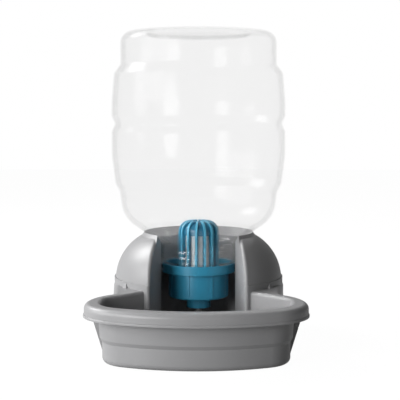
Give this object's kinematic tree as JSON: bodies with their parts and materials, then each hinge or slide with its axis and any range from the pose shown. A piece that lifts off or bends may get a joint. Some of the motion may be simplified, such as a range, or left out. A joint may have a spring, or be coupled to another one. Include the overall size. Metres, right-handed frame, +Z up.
{
  "type": "gravity waterer for a dog",
  "caption": "Free-standing pet waterer: an upturned clear bottle on a domed base fills an open drinking bowl through a screw cap with a valve and a filter cage.",
  "frame": {"origin": "on the floor, at the middle of the whole object's outline seen from above", "axes": "+Z up along the bottle, -Y towards the drinking bowl, +X to the right of someone facing it"},
  "size_m": [0.2016, 0.2678, 0.302],
  "materials": {
    "base_plastic": "fine satin moulded grain",
    "clear_plastic": "clear blown plastic",
    "cap_plastic": "satin moulded",
    "cage_plastic": "satin moulded",
    "filter_shell": "plain moulded",
    "valve_plastic": "plain moulded",
    "seal_rubber": "smooth",
    "spring_wire": "bright drawn wire",
    "foot_rubber": "smooth"
  },
  "bodies": {
    "stand": {"base": "base_plastic", "bottle": "clear_plastic", "foot_front_left": "foot_rubber", "foot_front_right": "foot_rubber", "foot_rear_left": "foot_rubber", "foot_rear_right": "foot_rubber"},
    "gasket": {"cap_gasket": "seal_rubber"},
    "cap": {"bottle_cap": "cap_plastic", "filter_cage": "cage_plastic", "filter_cartridge": "filter_shell", "spring_retainer": "cap_plastic", "valve_spring": "spring_wire"},
    "valve": {"valve_stem": "valve_plastic", "valve_seal": "seal_rubber"}
  },
  "joints": [
    {"name": "cap_drop", "type": "slide", "parent": "stand", "child": "gasket", "axis": [0, 0, -1], "range_m": [0, 0.004]},
    {"name": "cap_turn", "type": "hinge", "parent": "gasket", "child": "cap", "pos_m": [0, 0.0469, 0.05], "axis": [0, 0, -1], "range_deg": [0, 360]},
    {"name": "valve_slide", "type": "slide", "parent": "stand", "child": "valve", "axis": [0, 0, 1], "range_m": [0, 0.0015], "stiffness_N_per_m": 800, "springref_m": -0.005, "deforming": ["valve_spring"]}
  ],
  "couplings": [
    {"joint": "cap_drop", "follows": "cap_turn", "m_per_rad": 0.0006366}
  ]
}
